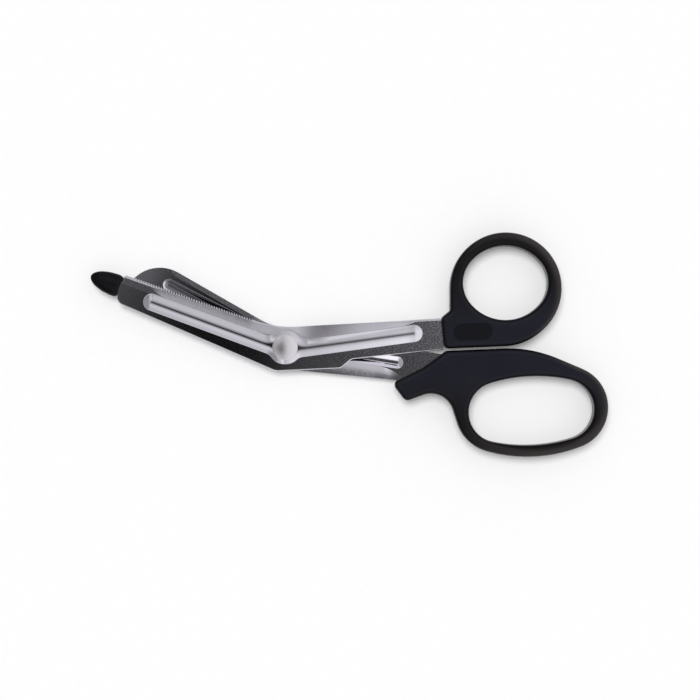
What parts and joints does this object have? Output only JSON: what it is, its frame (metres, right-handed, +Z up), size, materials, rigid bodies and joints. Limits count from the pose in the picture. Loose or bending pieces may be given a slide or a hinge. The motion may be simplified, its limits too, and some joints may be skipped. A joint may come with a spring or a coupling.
{
  "type": "bandage scissors",
  "caption": "Angled bandage scissors with ribbed steel blades on a rivet, a serrated cutting edge, a blunt plastic safety tip and moulded thumb and finger loops.",
  "frame": {"origin": "on the pivot axis, at the flat end of the rivet's tail, which rests on the table", "axes": "+X from the pivot towards the handles, +Y towards the thumb ring's side, +Z up from the table along the pivot axis"},
  "size_m": [0.1838, 0.0795, 0.009],
  "materials": {
    "blade_steel": "polished stainless sheet with ground edges",
    "rivet_steel": "satin turned",
    "handle_plastic": "satin moulded black",
    "tip_plastic": "satin moulded black"
  },
  "bodies": {
    "back_half": {"back_blade": "blade_steel", "finger_handle": "handle_plastic"},
    "front_half": {"front_blade": "blade_steel", "thumb_handle": "handle_plastic", "safety_tip": "tip_plastic", "pivot_rivet": "rivet_steel"}
  },
  "joints": [
    {"name": "blade_pivot", "type": "hinge", "parent": "back_half", "child": "front_half", "pos_m": [0, 0, 0.0045], "axis": [0, 0, 1], "range_deg": [0, 75]}
  ]
}
